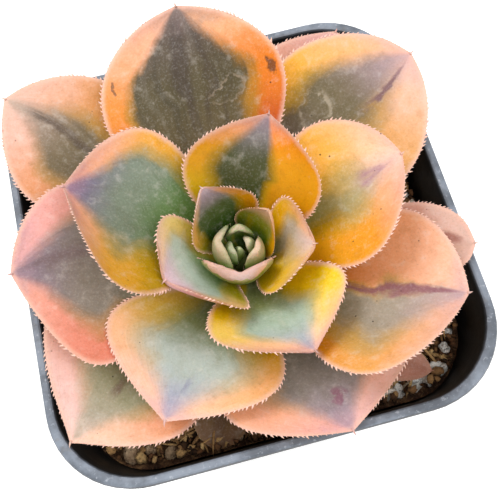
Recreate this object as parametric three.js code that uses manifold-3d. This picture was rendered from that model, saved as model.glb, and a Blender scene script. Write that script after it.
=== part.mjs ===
// A variegated rosette succulent growing in a square nursery pot.
// Millimetres, +Z up. The origin is the centre of the pot's flat underside. The pot's sides lie along X and Y.
import * as THREE from "three";
import { mergeVertices } from "three/addons/utils/BufferGeometryUtils.js";
import Module from "manifold-3d";

const wasm = await Module();
wasm.setup();

// Driving dimensions.
const potWidth = 90; // across the rim, outside
const potHeight = 80;
const potBaseWidth = 74;
const wallThickness = 1.2;
const floorThickness = 1.6;
const rimWidth = 2.2; // the lip, seen from above
const rimDepth = 3.4; // the lip, seen from the side
const rimCornerRadius = 17.5;
const baseCornerRadius = 14.5;
const soilTop = 65; // height of the soil's surface
const clearance = 0.3; // between touching pieces
const crownX = -0.5; // the plant stands a little in front of the pot's middle
const crownY = -6;
const budBase = 80.5; // height at which the innermost leaf leaves the stem
const leafPitch = 0.5; // drop along the stem from one leaf to the next
const stemRadius = 4.6;
const stemTaper = 14; // length over which the stem narrows towards the bud

// ---------------------------------------------------------------- materials
function matte(colour, roughness = 0.8) {
  return new THREE.MeshStandardMaterial({ color: colour, roughness, metalness: 0 });
}
const potPlastic = matte(0x26282b, 0.55);
const soilPeat = matte(0x2e1f14, 1);
const pumice = matte(0xa9977f, 0.95);
const perlite = matte(0xd9d4c8, 0.95);
const stemBark = matte(0x6a6a3a, 0.8);
const leafSkin = matte(0xe0a070, 0.5);

// ---------------------------------------------------------------- solids
// A closed triangle mesh from rings of points of equal count, with a flat fan over the first and last ring.
function loft(rings) {
  const count = rings[0].length;
  const corners = rings.flat();
  const faces = [];
  for (let r = 0; r + 1 < rings.length; r++) {
    for (let i = 0; i < count; i++) {
      const a = r * count + i;
      const b = r * count + ((i + 1) % count);
      faces.push([a, b, b + count], [a, b + count, a + count]);
    }
  }
  const last = (rings.length - 1) * count;
  for (let i = 1; i + 1 < count; i++) {
    faces.push([0, i + 1, i], [last, last + i, last + i + 1]);
  }
  return geometryOf(corners, faces);
}

function geometryOf(corners, faces) {
  const geometry = new THREE.BufferGeometry();
  geometry.setAttribute("position", new THREE.Float32BufferAttribute(corners.flat(), 3));
  geometry.setIndex(faces.flat());
  geometry.computeVertexNormals();
  return geometry;
}

function solidOf(geometry) {
  const bare = geometry.clone();
  bare.deleteAttribute("normal");
  bare.deleteAttribute("uv");
  const merged = mergeVertices(bare, 1e-4);
  return new wasm.Manifold(
    new wasm.Mesh({
      numProp: 3,
      vertProperties: new Float32Array(merged.attributes.position.array),
      triVerts: new Uint32Array(merged.index.array),
    }),
  );
}

function geometryFrom(solid) {
  const { vertProperties, triVerts } = solid.getMesh();
  const geometry = new THREE.BufferGeometry();
  geometry.setAttribute("position", new THREE.BufferAttribute(new Float32Array(vertProperties), 3));
  geometry.setIndex(new THREE.BufferAttribute(new Uint32Array(triVerts), 1));
  geometry.computeVertexNormals();
  return geometry;
}

// ---------------------------------------------------------------- pot and soil
const cornerSteps = 6;

// A square with round corners as a ring of points, anticlockwise seen from above.
function roundedSquare(width, radius, height) {
  const ring = [];
  const reach = width / 2 - radius;
  const quarter = Math.PI / 2;
  for (let corner = 0; corner < 4; corner++) {
    const middle = (corner + 0.5) * quarter;
    const x = reach * Math.sign(Math.cos(middle));
    const y = reach * Math.sign(Math.sin(middle));
    for (let step = 0; step <= cornerSteps; step++) {
      const angle = (corner + step / cornerSteps) * quarter;
      ring.push([x + radius * Math.cos(angle), y + radius * Math.sin(angle), height]);
    }
  }
  return ring;
}

// Width and corner radius of the tapered wall's outside at a height.
function wallWidth(height) {
  const share = height / potHeight;
  return potBaseWidth + (potWidth - 2 * (rimWidth - wallThickness) - potBaseWidth) * share;
}
function wallRadius(height) {
  const share = height / potHeight;
  return baseCornerRadius + (rimCornerRadius - baseCornerRadius) * share;
}
function wallRing(height, inset = 0) {
  return roundedSquare(wallWidth(height) - 2 * inset, wallRadius(height) - inset, height);
}
function rimRing(height, inset) {
  return roundedSquare(potWidth - 2 * inset, rimCornerRadius - inset, height);
}

function makePot() {
  const baseRound = 1.2;
  const rimRound = 0.6;
  const rings = [
    wallRing(0, baseRound),
    wallRing(baseRound, 0),
    wallRing(potHeight - rimDepth, 0),
    rimRing(potHeight - rimDepth + 0.1, 0.4),
    rimRing(potHeight - rimDepth + rimRound, 0),
    rimRing(potHeight - rimRound, 0),
    rimRing(potHeight, rimRound),
    rimRing(potHeight, rimWidth - rimRound),
    rimRing(potHeight - rimRound, rimWidth),
    wallRing(potHeight - rimDepth, wallThickness),
    wallRing(floorThickness + baseRound, wallThickness),
    wallRing(floorThickness, wallThickness + baseRound),
  ];
  let solid = solidOf(loft(rings));
  const holeRadius = 4;
  const holeReach = potBaseWidth * 0.3;
  const holeSides = 12;
  const places = [];
  for (const x of [-1, 0, 1]) {
    for (const y of [-1, 0, 1]) {
      if (x !== 0 || y !== 0) places.push([x * holeReach, y * holeReach]);
    }
  }
  for (const [x, y] of places) {
    const drill = new THREE.CylinderGeometry(holeRadius, holeRadius, floorThickness * 4, holeSides);
    drill.rotateX(Math.PI / 2);
    drill.translate(x, y, 0);
    solid = solid.subtract(solidOf(drill));
  }
  return geometryFrom(solid);
}

function stemRadiusAt(height) {
  const down = Math.max(0, budBase - height);
  const share = Math.min(1, down / stemTaper);
  return 0.8 + (stemRadius - 0.8) * Math.sin((share * Math.PI) / 2);
}

const stemFoot = soilTop - 12;

function makeStem(extra = 0) {
  const sides = 12;
  const heights = [];
  for (let z = stemFoot; z < budBase; z += 4) heights.push(z);
  heights.push(budBase - 0.5);
  const rings = heights.map((z) => {
    const ring = [];
    for (let i = 0; i < sides; i++) {
      const angle = (i / sides) * 2 * Math.PI;
      const radius = stemRadiusAt(z) + extra;
      ring.push([crownX + radius * Math.cos(angle), crownY + radius * Math.sin(angle), z - extra]);
    }
    return ring;
  });
  return loft(rings);
}

function makeSoil() {
  const gap = wallThickness + clearance;
  const body = solidOf(
    loft([
      wallRing(floorThickness + clearance, gap + 1.2),
      wallRing(floorThickness + clearance + 1.2, gap),
      wallRing(soilTop - 1, gap),
      wallRing(soilTop, gap + 2),
    ]),
  );
  return geometryFrom(body.subtract(solidOf(makeStem(clearance))));
}

// ---------------------------------------------------------------- leaves
const stations = [0, 0.14, 0.28, 0.42, 0.54, 0.64, 0.73, 0.81, 0.88, 0.94, 0.975];
const acrossSteps = 6;

// Half breadth of a leaf as a share of its widest half breadth, from its base (0) to its tip (1).
function leafOutline(along, widest, neck, point) {
  if (along < widest) {
    const rise = along / widest;
    return neck + (1 - neck) * Math.sin((rise * Math.PI) / 2) ** 1.5;
  }
  const fall = (along - widest) / (1 - widest);
  return (1 - fall ** 2.1) ** point;
}

// One blade in its own frame: it leaves the origin along +X and rises towards +Z.
function makeLeaf(leaf, start, run, rise) {
  const { breadth, arch, cup, twist = 0, sway = 0, skew = 0 } = leaf;
  const { widest = 0.62, point = 0.68, thick = 2.4 } = leaf;
  const chord = Math.hypot(run, rise);
  const chordPitch = Math.atan2(rise, run);
  const bend = THREE.MathUtils.degToRad(arch);
  const length = (chord * bend) / Math.sin(bend || 1e-6) || chord;
  const turn = THREE.MathUtils.degToRad(sway);
  const roll = THREE.MathUtils.degToRad(twist);
  const neck = Math.min(0.6, (1 + 0.7 * start) / breadth);
  // The midrib is a circular arc, walked in small steps.
  const steps = 120;
  const spine = [];
  const walk = new THREE.Vector3();
  for (let i = 0; i <= steps; i++) {
    const along = i / steps;
    const pitch = chordPitch + bend * (1 - 2 * along);
    const heading = turn * (2 * along - 1);
    const ahead = new THREE.Vector3(
      Math.cos(pitch) * Math.cos(heading),
      Math.cos(pitch) * Math.sin(heading),
      Math.sin(pitch),
    );
    const side = new THREE.Vector3(-Math.sin(heading), Math.cos(heading), 0);
    spine.push({ at: walk.clone(), ahead, side });
    walk.addScaledVector(ahead, length / steps);
  }
  const corners = [];
  for (const along of stations) {
    const { at, ahead, side } = spine[Math.round(along * steps)];
    const face = new THREE.Vector3().crossVectors(ahead, side);
    side.applyAxisAngle(ahead, roll * along);
    face.applyAxisAngle(ahead, roll * along);
    const half = (breadth / 2) * leafOutline(along, widest, neck, point);
    const plump = thick * (1 - 0.45 * along);
    const top = [];
    const under = [];
    for (let j = 0; j <= acrossSteps; j++) {
      const across = (2 * j) / acrossSteps - 1;
      const halfHere = half * (1 + Math.sign(across) * skew);
      const edge = at.clone().addScaledVector(side, across * halfHere);
      edge.addScaledVector(face, cup * halfHere * across ** 2);
      top.push(edge);
      under.push(edge.clone().addScaledVector(face, -plump * (1 - Math.abs(across) ** 2.4)));
    }
    corners.push(top, under);
  }
  return leafMesh(corners, spine[steps].at);
}

// Joins the sections of a blade and closes both ends. A section is a top and an underside that share two margins.
function leafMesh(sections, tip) {
  const last = acrossSteps;
  const points = [];
  const index = [];
  for (let s = 0; s < sections.length; s += 2) {
    const [top, under] = [sections[s], sections[s + 1]];
    const ring = [...top, ...under.slice(1, last).reverse()];
    index.push(ring.map((_, i) => points.length + i));
    points.push(...ring);
  }
  const faces = [];
  const around = index[0].length;
  for (let s = 0; s + 1 < index.length; s++) {
    for (let i = 0; i < around; i++) {
      const [a, b] = [index[s][i], index[s][(i + 1) % around]];
      const [c, d] = [index[s + 1][i], index[s + 1][(i + 1) % around]];
      faces.push([a, d, b], [a, c, d]);
    }
  }
  const end = index.at(-1);
  points.push(tip);
  for (let i = 0; i < around; i++) faces.push([end[i], points.length - 1, end[(i + 1) % around]]);
  // The base cap: strips between the top row and the underside row.
  const base = index[0];
  const opposite = (i) => base[(around - i) % around];
  faces.push([base[0], base[1], opposite(1)]);
  for (let i = 1; i + 1 < last; i++) {
    faces.push([base[i], opposite(i + 1), opposite(i)], [base[i], base[i + 1], opposite(i + 1)]);
  }
  faces.push([base[last - 1], base[last], opposite(last - 1)]);
  return geometryOf(points.map((p) => p.toArray()), faces);
}

// Leaves from the bud outwards. heading: degrees anticlockwise from +X. reach: from the crown's axis to the
// tip. tip: the tip's height over the rim. breadth: the widest. arch: degrees the midrib bends down from its
// chord at either end (negative curls inwards). cup: how far the margins rise, as a share of half the breadth.
// sway: degrees the midrib bends sideways. twist: degrees the blade turns about its midrib by the tip.
// skew: how much wider the anticlockwise half is. widest: where, as a share of the length. point: below 1 the
// tip is blunt, above 1 it is drawn out. thick: the thickness along the midrib.
const leaves = [
  { heading: 229, reach: 0.2, tip: 6.2, breadth: 2, arch: -6, cup: 0.3, thick: 1, point: 0.6 },
  { heading: 5, reach: 1.3, tip: 7.4, breadth: 4, arch: -24, cup: 0.3, thick: 1.3, point: 0.5 },
  { heading: 190, reach: 1.6, tip: 7.2, breadth: 4.6, arch: -22, cup: 0.3, thick: 1.25, point: 0.5 },
  { heading: 80, reach: 2.4, tip: 9, breadth: 5.8, arch: -24, cup: 0.35, thick: 1.5, point: 0.5 },
  { heading: 320, reach: 3.4, tip: 9, breadth: 7, arch: -24, cup: 0.45, thick: 1.35, point: 0.5 },
  { heading: 172, reach: 3.7, tip: 10, breadth: 10, arch: -26, cup: 0.6, thick: 1.4, point: 0.5 },
  {
    heading: 28, reach: 7.5, tip: 12, breadth: 11, arch: -9, cup: 0.45,
    sway: 3, widest: 0.55, point: 0.6, thick: 1.3,
  },
  {
    heading: 259, reach: 7.5, tip: 11.6, breadth: 15, arch: -8, cup: 0.5,
    skew: -0.1, widest: 0.7, point: 0.5, thick: 1.9,
  },
  {
    heading: 113, reach: 11.4, tip: 14, breadth: 15.7, arch: -6, cup: 0.55,
    sway: 4, point: 0.87, thick: 1.3,
  },
  {
    heading: 338, reach: 14.4, tip: 12, breadth: 19.8, arch: 9, cup: 0.4,
    sway: 2, widest: 0.7, point: 0.8, thick: 1.8,
  },
  {
    heading: 197, reach: 16.2, tip: 11.5, breadth: 25, arch: 9, cup: 0.4,
    sway: 6, twist: 6, skew: 0.08, widest: 0.68, point: 0.8, thick: 2,
  },
  {
    heading: 62, reach: 25.5, tip: 14.5, breadth: 28, arch: 15, cup: 0.4,
    sway: -4, widest: 0.58, point: 1.1,
  },
  {
    heading: 288, reach: 26, tip: 10.4, breadth: 28, arch: 17, cup: 0.42,
    sway: 5, twist: -11, skew: -0.08, widest: 0.7, point: 1.15,
  },
  {
    heading: 149, reach: 35.5, tip: 14, breadth: 38, arch: 11, cup: 0.44,
    sway: 10, twist: 22, skew: 0.2, widest: 0.68, point: 1.05,
  },
  {
    heading: 13, reach: 35.8, tip: 12.5, breadth: 31, arch: 12, cup: 0.27,
    sway: -8, twist: -5, skew: -0.1, point: 0.7,
  },
  {
    heading: 234, reach: 36.4, tip: 7.6, breadth: 36, arch: 12, cup: 0.12,
    skew: -0.04, widest: 0.58, point: 1.1,
  },
  {
    heading: 90.5, reach: 53.7, tip: 13.6, breadth: 40, arch: 12, cup: 0.04,
    sway: -11, twist: -14, skew: -0.05, widest: 0.65, point: 0.7,
  },
  {
    heading: 332, reach: 44.4, tip: 7.5, breadth: 37, arch: 14, cup: 0.24,
    sway: -3, twist: -14, skew: -0.22, widest: 0.65, point: 0.84,
  },
  {
    heading: 173, reach: 45, tip: 8.6, breadth: 40, arch: 11, cup: 0.08,
    sway: 13, twist: 4, skew: 0.12, widest: 0.68, point: 0.85,
  },
  {
    heading: 35, reach: 55.6, tip: 8.2, breadth: 36.5, arch: 11, cup: 0.03,
    sway: -9, twist: 11, skew: 0.05, widest: 0.6, point: 0.66,
  },
  {
    heading: 286, reach: 40.8, tip: 3.4, breadth: 42, arch: 9, cup: 0.14,
    twist: -9, skew: 0.08, widest: 0.65, point: 1,
  },
  {
    heading: 131, reach: 63.6, tip: 4, breadth: 32, arch: 9, cup: 0.1,
    sway: 10, twist: -3, skew: 0.1, widest: 0.66, point: 0.87,
  },
  {
    heading: 347, reach: 46.7, tip: 2.6, breadth: 17, arch: 10, cup: 0.15,
    skew: 0.15, widest: 0.7, point: 0.5, thick: 1.8,
  },
  {
    heading: 215, reach: 48.8, tip: 2.2, breadth: 37, arch: 12, cup: 0.17,
    skew: -0.17, widest: 0.63, point: 1.2,
  },
  {
    heading: 54, reach: 58, tip: 0.2, breadth: 30, arch: 6, cup: 0.1,
    sway: -2, skew: 0.12, point: 0.93, thick: 1.6,
  },
  {
    heading: 315, reach: 44.4, tip: -7, breadth: 11, arch: 6, cup: 0.2,
    sway: 12, skew: -0.1, point: 0.65, thick: 1,
  },
  { heading: 247, reach: 38, tip: -10.5, breadth: 15, arch: 6, cup: 0.1, point: 0.6, thick: 0.8 },
];

function addLeaves(plant) {
  leaves.forEach((leaf, order) => {
    const height = budBase - leafPitch * order;
    const start = stemRadiusAt(height) + clearance;
    const run = leaf.reach - start;
    const rise = potHeight + leaf.tip - height;
    const mesh = new THREE.Mesh(makeLeaf(leaf, start, run, rise), leafSkin);
    const angle = THREE.MathUtils.degToRad(leaf.heading);
    mesh.name = `leaf_${String(order + 1).padStart(2, "0")}`;
    mesh.position.set(crownX + start * Math.cos(angle), crownY + start * Math.sin(angle), height);
    mesh.rotation.z = angle;
    plant.add(mesh);
  });
}

// ---------------------------------------------------------------- loose stones on the soil
const stones = [
  { x: -32.4, y: -37, across: 4.6, turn: 100, kind: pumice },
  { x: -10.4, y: -38, across: 4.6, turn: 75, kind: pumice },
  { x: -24.6, y: -38.9, across: 3.4, turn: 30, kind: pumice },
  { x: -28.6, y: -37.2, across: 2.8, turn: 140, kind: pumice },
  { x: 34.2, y: -36.6, across: 3.2, turn: 50, kind: perlite },
  { x: 36.4, y: -32.4, across: 2.8, turn: 110, kind: pumice },
  { x: 38.2, y: -29.2, across: 2.4, turn: 60, kind: perlite },
  { x: 24, y: -38.6, across: 3.6, turn: 100, kind: perlite },
  { x: 27.8, y: -38.8, across: 3, turn: 20, kind: perlite },
  { x: 38.4, y: 2.2, across: 2, turn: 60, kind: perlite },
];
const stoneBreadth = 0.8; // share of its length
const stoneHeight = 0.7;

function addStones(plant) {
  stones.forEach(({ x, y, across, turn, kind }, order) => {
    const lump = new THREE.IcosahedronGeometry(across / 2, 1);
    lump.scale(1, stoneBreadth, stoneHeight);
    const mesh = new THREE.Mesh(geometryFrom(solidOf(lump)), kind);
    mesh.name = `stone_${String(order + 1).padStart(2, "0")}`;
    mesh.position.set(x, y, soilTop + clearance + (across * stoneHeight) / 2);
    mesh.rotation.z = THREE.MathUtils.degToRad(turn);
    plant.add(mesh);
  });
}

// ---------------------------------------------------------------- assembly
const pottedSucculent = new THREE.Group();
function addPiece(name, geometry, material, parent = pottedSucculent) {
  const mesh = new THREE.Mesh(geometry, material);
  mesh.name = name;
  parent.add(mesh);
  return mesh;
}
addPiece("pot", makePot(), potPlastic);
addPiece("soil", makeSoil(), soilPeat);
addPiece("stem", makeStem(), stemBark);
addLeaves(pottedSucculent);
addStones(pottedSucculent);

export default pottedSucculent;
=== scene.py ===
import math
import random
from functools import partial

import bmesh
import bpy
import numpy as np
from mathutils import Matrix, Vector


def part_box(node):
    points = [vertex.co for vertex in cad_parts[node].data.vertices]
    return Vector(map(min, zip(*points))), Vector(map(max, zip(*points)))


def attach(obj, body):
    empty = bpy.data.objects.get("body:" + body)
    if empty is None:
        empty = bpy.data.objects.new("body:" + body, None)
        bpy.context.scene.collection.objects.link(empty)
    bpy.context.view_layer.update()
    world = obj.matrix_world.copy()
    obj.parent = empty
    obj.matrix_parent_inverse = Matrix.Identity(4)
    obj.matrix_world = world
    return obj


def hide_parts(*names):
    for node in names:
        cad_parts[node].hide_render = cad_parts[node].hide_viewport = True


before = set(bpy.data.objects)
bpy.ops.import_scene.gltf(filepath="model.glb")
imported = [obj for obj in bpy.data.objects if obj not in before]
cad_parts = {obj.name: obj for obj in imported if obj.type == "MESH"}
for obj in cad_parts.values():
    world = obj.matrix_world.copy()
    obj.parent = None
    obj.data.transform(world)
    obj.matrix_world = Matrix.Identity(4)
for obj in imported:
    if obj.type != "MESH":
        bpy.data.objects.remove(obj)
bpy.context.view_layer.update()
mm = 0.001


def startFresh():
    if bpy.context.object and bpy.context.object.mode != "OBJECT":
        bpy.ops.object.mode_set(mode="OBJECT")
    bpy.ops.object.select_all(action="DESELECT")


def pickOnly(piece):
    startFresh()
    piece.select_set(True)
    bpy.context.view_layer.objects.active = piece


def applyModifier(piece, kind, **settings):
    modifier = piece.modifiers.new(kind.lower(), kind)
    for key, value in settings.items():
        setattr(modifier, key, value)
    bpy.ops.object.modifier_apply(modifier=modifier.name)


def extentOf(piece):
    places = [vertex.co for vertex in piece.data.vertices]
    return [Vector([pick(p[i] for p in places) for i in range(3)]) for pick in (min, max)]


def colour(value):
    # sRGB hex to linear
    channels = [((value >> shift) & 255) / 255 for shift in (16, 8, 0)]
    return [c / 12.92 if c <= 0.04045 else ((c + 0.055) / 1.055) ** 2.4 for c in channels] + [1]


# each kind of node: Blender's name, fixed settings, the sockets in the order they are given
# and the output used
nodeKinds = {
    "place": ("TexCoord", {}, (), "Object"),
    "facing": ("NewGeometry", {}, (), "Normal"),
    "attribute": ("Attribute", {}, (), "Fac"),
    "add": ("Math", {"operation": "ADD"}, (0, 1), 0),
    "subtract": ("Math", {"operation": "SUBTRACT"}, (0, 1), 0),
    "multiply": ("Math", {"operation": "MULTIPLY"}, (0, 1), 0),
    "divide": ("Math", {"operation": "DIVIDE"}, (0, 1), 0),
    "absolute": ("Math", {"operation": "ABSOLUTE"}, (0,), 0),
    "root": ("Math", {"operation": "SQRT"}, (0,), 0),
    "move": ("VectorMath", {"operation": "ADD"}, (0, 1), 0),
    "dot": ("VectorMath", {"operation": "DOT_PRODUCT"}, (0, 1), "Value"),
    "stretch": ("Mapping", {}, ("Vector", "Scale"), 0),
    "vector": ("CombineXYZ", {}, (0, 1, 2), 0),
    "height": ("SeparateXYZ", {}, (0,), "Z"),
    "smooth": ("MapRange", {"interpolation_type": "SMOOTHSTEP"}, (0, 1, 2), 0),
    "range": ("MapRange", {}, (0, 3, 4), 0),
    "mix": ("Mix", {"data_type": "RGBA"}, (0, 6, 7), 2),
    "darken": ("Mix", {"data_type": "RGBA", "blend_type": "MULTIPLY"}, (0, 6, 7), 2),
    "ramp": ("ValToRGB", {}, (0,), 0),
    "tint": ("HueSaturation", {}, ("Saturation", "Value", "Color"), 0),
    "clouds": ("TexNoise", {}, ("Vector", "Scale", "Detail", "Roughness"), 0),
    "cells": ("TexVoronoi", {}, ("Vector", "Scale"), "Distance"),
    "bump": ("Bump", {}, ("Height", "Distance", "Strength", "Normal"), 0),
    "surface": ("BsdfPrincipled", {}, (), 0),
    "output": ("OutputMaterial", {}, (0,), 0),
}


def addNode(tree, kind, *values, stops=(), ease="LINEAR", **settings):
    # a socket is linked and anything else is set; one dictionary gives named inputs
    title, fixed, sockets, output = nodeKinds[kind]
    node = tree.nodes.new("ShaderNode" + title)
    for key, value in {**fixed, **settings}.items():
        setattr(node, key, value)
    if stops:
        node.color_ramp.interpolation = ease
        while len(node.color_ramp.elements) < len(stops):
            node.color_ramp.elements.new(0.5)
        for element, (at, shade) in zip(node.color_ramp.elements, stops):
            element.position = at
            element.color = shade
    named = bool(values) and isinstance(values[0], dict)
    for socket, value in (values[0] if named else dict(zip(sockets, values))).items():
        if isinstance(value, bpy.types.NodeSocket):
            tree.links.new(value, node.inputs[socket])
        else:
            node.inputs[socket].default_value = value
    return node.outputs[output] if node.outputs else node


def newMaterial(name):
    # the material, addNode for its tree, and the place being shaded
    material = bpy.data.materials.new(name)
    material.use_nodes = True
    material.node_tree.nodes.clear()
    node = partial(addNode, material.node_tree)
    return material, node, node("place")


def per(width):
    # texture scale for patches of a width in millimetres
    return 1000 / width


# camera and light
view = {"place": (-4.5, -53.8, 217.9), "target": (1.65, -4.18, 80), "roll": -7.77, "lens": 51.4}
lights = {  # place in mm, size in m, power in W
    "key": ((-350, 450, 750), 0.5, 5.2),
    "fill": ((260, -300, 780), 0.5, 3.4),
}
studio = {
    "sky": 0.7, "floorSize": 4,  # m
    "floor": (0xFBFBFA, 0xFEFEFD), "floorGrain": 3, "floorGlow": 0.3,
}


def aim(place, target):
    # a matrix at a place in mm, with -Z towards the target
    place, target = Vector(place) * mm, Vector(target) * mm
    turn = (target - place).to_track_quat("-Z", "Y").to_matrix().to_4x4()
    return Matrix.Translation(place) @ turn


def addObject(name, data):
    thing = bpy.data.objects.new(name, data)
    bpy.context.collection.objects.link(thing)
    return thing


data = bpy.data.cameras.new("camera")
data.lens = view["lens"]
data.sensor_width = 36
data.clip_start = 0.01
camera = addObject("camera", data)
camera.matrix_world = (aim(view["place"], view["target"])
                       @ Matrix.Rotation(math.radians(view["roll"]), 4, "Z"))
bpy.context.scene.camera = camera
for name, (place, size, power) in lights.items():
    data = bpy.data.lights.new(name, "AREA")
    data.size = size
    data.energy = power
    addObject(name, data).matrix_world = aim(place, (0, 0, 80))
world = bpy.data.worlds.new("studio")
bpy.context.scene.world = world
world.use_nodes = True
background = world.node_tree.nodes["Background"]
background.inputs[0].default_value = (1, 1, 1, 1)
background.inputs[1].default_value = studio["sky"]
bpy.context.scene.view_settings.view_transform = "Standard"

startFresh()
bpy.ops.mesh.primitive_plane_add(size=studio["floorSize"])
floor = bpy.context.object
floor.name = "floor"
painted, node, place = newMaterial("pale_floor")  # matt white board
grain = node("clouds", place, per(studio["floorGrain"]), 3)
shade = node("ramp", grain, stops=list(zip((0.3, 0.7), map(colour, studio["floor"]))))
node("output", node("surface", {
    "Base Color": shade, "Roughness": 0.9,
    "Emission Color": (1, 1, 1, 1), "Emission Strength": studio["floorGlow"]}))
floor.data.materials.append(painted)
print("camera, light and floor ready")

# leaf skin: colours run from the base to the tip at these shares of the leaf's length
colourStops = (0.38, 0.66, 0.93)

# left is the anticlockwise half of a leaf seen from above
plainLook = {
    "left": (0xC08A20, 0xE0A060, 0xEBB49A),
    "stripe": (0x6A7040, 0x8A8468, 0x9A8488),
    "right": (0xC08A20, 0xE0A060, 0xEBB49A),
    "under": (0xB09848, 0xC09A68, 0xCFA58C),
    "width": (0.5, 0.42, 0.2),  # half the stripe's width, as a share of the leaf's half width
    "shift": (0, 0, 0),  # how far the stripe's middle sits to the left
    "soft": (0.2, 0.2),  # how gently its left and right borders fade
    "fringe": 0xB89A3C,  # where the stripe meets the flanks
    "fringeShown": 0.35,
    "edge": 0xF0C4B4,
    "edgeWide": 1.3,  # mm
    "patch": 7,  # mm
    "wander": 0.8,  # how unevenly the borders between the colours run
    "tip": 0xC9A0A4,
    "lines": (),  # (across, from, to, half width, colour, strength)
    "spots": (),  # (along, across, radius along, radius across, colour, strength)
    "rings": (),  # the same, for the pale border of a dried drop
    "specks": 0.3,
    "dust": 0.1,
    "streaks": 0.35,
}

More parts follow.
